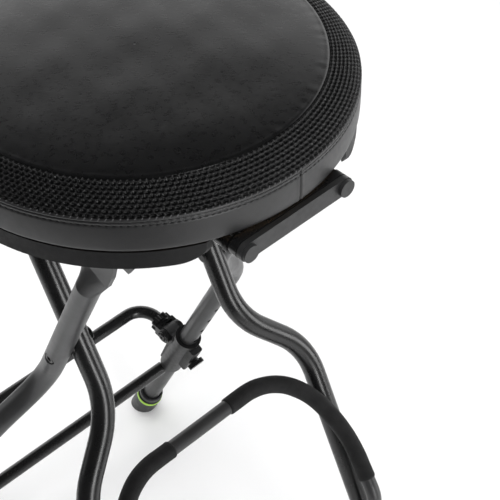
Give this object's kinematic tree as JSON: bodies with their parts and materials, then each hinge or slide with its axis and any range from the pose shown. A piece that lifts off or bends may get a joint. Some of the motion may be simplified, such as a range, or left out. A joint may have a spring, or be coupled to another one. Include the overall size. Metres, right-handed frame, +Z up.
{
  "type": "folding musician's stool",
  "caption": "Round padded seat on a folding scissor frame of bent tube, with a sliding footrest, a foam-covered swing-out hoop and a pull-out bumper bar under the seat's front.",
  "frame": {"origin": "on the floor, midway between the four feet and straight below the scissor pivot", "axes": "+Z up; the front, with the bumper bar and the foam hoop, faces -Y; the footrest faces +Y; the scissor pivot runs along X"},
  "size_m": [0.3734, 0.55, 0.82],
  "materials": {
    "seat_vinyl": "satin",
    "seat_foam_board": "matt",
    "skirt_black": "satin",
    "frame_black": "satin",
    "frame_graphite": "satin",
    "plastic_graphite": "satin",
    "plastic_black": "matt",
    "foam_grip": "matt",
    "foot_rubber": "matt",
    "foot_lime": "gloss",
    "bolt_black": "satin",
    "zinc": "satin"
  },
  "bodies": {
    "outer_frame": {"outer_leg_left": "frame_graphite", "outer_leg_right": "frame_graphite", "rear_feet": "foot_rubber", "rear_foot_rings": "foot_lime", "pivot_bolts": "bolt_black", "pivot_spacers": "plastic_black", "pivot_nuts": "bolt_black"},
    "inner_frame": {"inner_leg_left": "frame_black", "inner_leg_right": "frame_black", "slide_cross_tube": "frame_black", "front_cross_tube": "frame_black", "leg_top_caps": "plastic_black", "front_feet": "foot_rubber", "front_foot_rings": "foot_lime", "hoop_bolts": "bolt_black"},
    "seat": {"seat_cushion": "seat_vinyl", "seat_board": "seat_foam_board", "side_skirt_left": "skirt_black", "side_skirt_right": "skirt_black", "seat_plate": "frame_black", "seat_screws": "zinc", "hinge_bracket_left": "frame_black", "hinge_bracket_right": "frame_black", "hinge_bolts": "bolt_black", "hinge_spacers": "plastic_black", "slide_rail_left": "frame_black", "slide_rail_right": "frame_black", "bumper_guide_left": "plastic_black", "bumper_guide_right": "plastic_black"},
    "bumper": {"bumper_bar": "plastic_graphite", "bumper_caps": "plastic_graphite", "bumper_posts": "frame_black", "bumper_collars": "plastic_black"},
    "footrest": {"footrest_sleeve_left": "plastic_graphite", "footrest_sleeve_right": "plastic_graphite", "sleeve_bushings": "plastic_black", "footrest_crossbar": "frame_black", "hub_screws": "bolt_black"},
    "foot_bar": {"foot_bar": "frame_black", "foot_bar_knuckles": "plastic_black", "foot_bar_collars": "plastic_black"},
    "clamp_left": {"clamp_knob_left": "plastic_black"},
    "clamp_right": {"clamp_knob_right": "plastic_black"},
    "hoop": {"hoop_tube": "frame_graphite", "hoop_lugs": "frame_black", "hoop_foam_left": "foam_grip", "hoop_foam_right": "foam_grip"}
  },
  "joints": [
    {"name": "frame_fold", "type": "hinge", "parent": "outer_frame", "child": "inner_frame", "pos_m": [0, 0, 0.5264], "axis": [1, 0, 0], "range_deg": [0, 40]},
    {"name": "seat_tilt", "type": "hinge", "parent": "outer_frame", "child": "seat", "pos_m": [0, -0.10652, 0.74481], "axis": [1, 0, 0], "range_deg": [0, 20]},
    {"name": "footrest_slide", "type": "slide", "parent": "outer_frame", "child": "footrest", "axis": [0, -0.4384, 0.8988], "range_m": [-0.063, 0.126]},
    {"name": "foot_bar_tilt", "type": "hinge", "parent": "footrest", "child": "foot_bar", "pos_m": [0, 0.18418, 0.20123], "axis": [1, 0, 0], "range_deg": [-25, 60]},
    {"name": "clamp_left_turn", "type": "hinge", "parent": "footrest", "child": "clamp_left", "pos_m": [-0.1698, 0.14685, 0.17969], "axis": [0, -0.8988, -0.4384], "range_deg": [0, 270]},
    {"name": "clamp_right_turn", "type": "hinge", "parent": "footrest", "child": "clamp_right", "pos_m": [0.1698, 0.14685, 0.17969], "axis": [0, -0.8988, -0.4384], "range_deg": [0, 270]},
    {"name": "hoop_swing", "type": "hinge", "parent": "inner_frame", "child": "hoop", "pos_m": [0, -0.16877, 0.18036], "axis": [1, 0, 0], "range_deg": [0, 90]},
    {"name": "bumper_slide", "type": "slide", "parent": "seat", "child": "bumper", "axis": [0, -1, 0], "range_m": [0, 0.04]}
  ],
  "couplings": [
    {"joint": "seat_tilt", "follows": "frame_fold", "ratio": 0.5}
  ]
}
